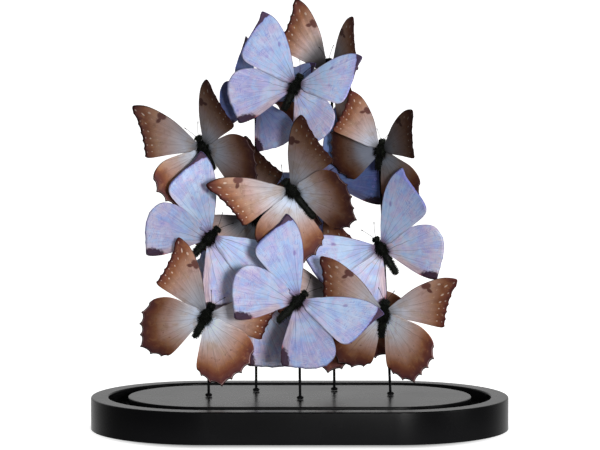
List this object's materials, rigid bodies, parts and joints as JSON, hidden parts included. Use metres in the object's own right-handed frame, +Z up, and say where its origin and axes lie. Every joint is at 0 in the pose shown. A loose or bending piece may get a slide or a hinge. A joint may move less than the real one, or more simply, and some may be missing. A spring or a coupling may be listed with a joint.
{
  "type": "mounted butterflies on an oval display base",
  "caption": "Pale blue and brown butterflies mounted on thin black rods, rising as a cluster from a black oval display base with a groove for a dome.",
  "frame": {"origin": "centre of the underside of the oval base", "axes": "+Z up; X along the base's long side; -Y is the front, which the butterflies' backs face"},
  "size_m": [0.28, 0.156, 0.2875],
  "materials": {
    "base_lacquer": "smooth black satin lacquer",
    "rod": "satin black",
    "collar": "satin black",
    "blue_butterfly": "pearly pale blue wing scales, black furry body",
    "brown_butterfly": "matt brown wing scales over a grey-white root, black furry body"
  },
  "bodies": {
    "root": {"base_rim": "base_lacquer", "base_board": "base_lacquer", "base_panel": "base_lacquer", "rod_left": "rod", "rod_back_left": "rod", "rod_centre": "rod", "rod_back_right": "rod", "rod_right": "rod", "collar_left": "collar", "collar_back_left": "collar", "collar_centre": "collar", "collar_back_right": "collar", "collar_right": "collar", "blue_butterfly_centre_top": "blue_butterfly", "blue_butterfly_centre_low": "blue_butterfly", "blue_butterfly_left_middle": "blue_butterfly", "blue_butterfly_right_middle": "blue_butterfly", "blue_butterfly_back_right_middle": "blue_butterfly", "blue_butterfly_back_left_top": "blue_butterfly", "blue_butterfly_back_left_low": "blue_butterfly", "brown_butterfly_centre_middle": "brown_butterfly", "brown_butterfly_left_top": "brown_butterfly", "brown_butterfly_left_low": "brown_butterfly", "brown_butterfly_right_top": "brown_butterfly", "brown_butterfly_right_low": "brown_butterfly", "brown_butterfly_back_right_top": "brown_butterfly", "brown_butterfly_back_right_low": "brown_butterfly", "brown_butterfly_back_left_middle": "brown_butterfly"}
  },
  "joints": []
}
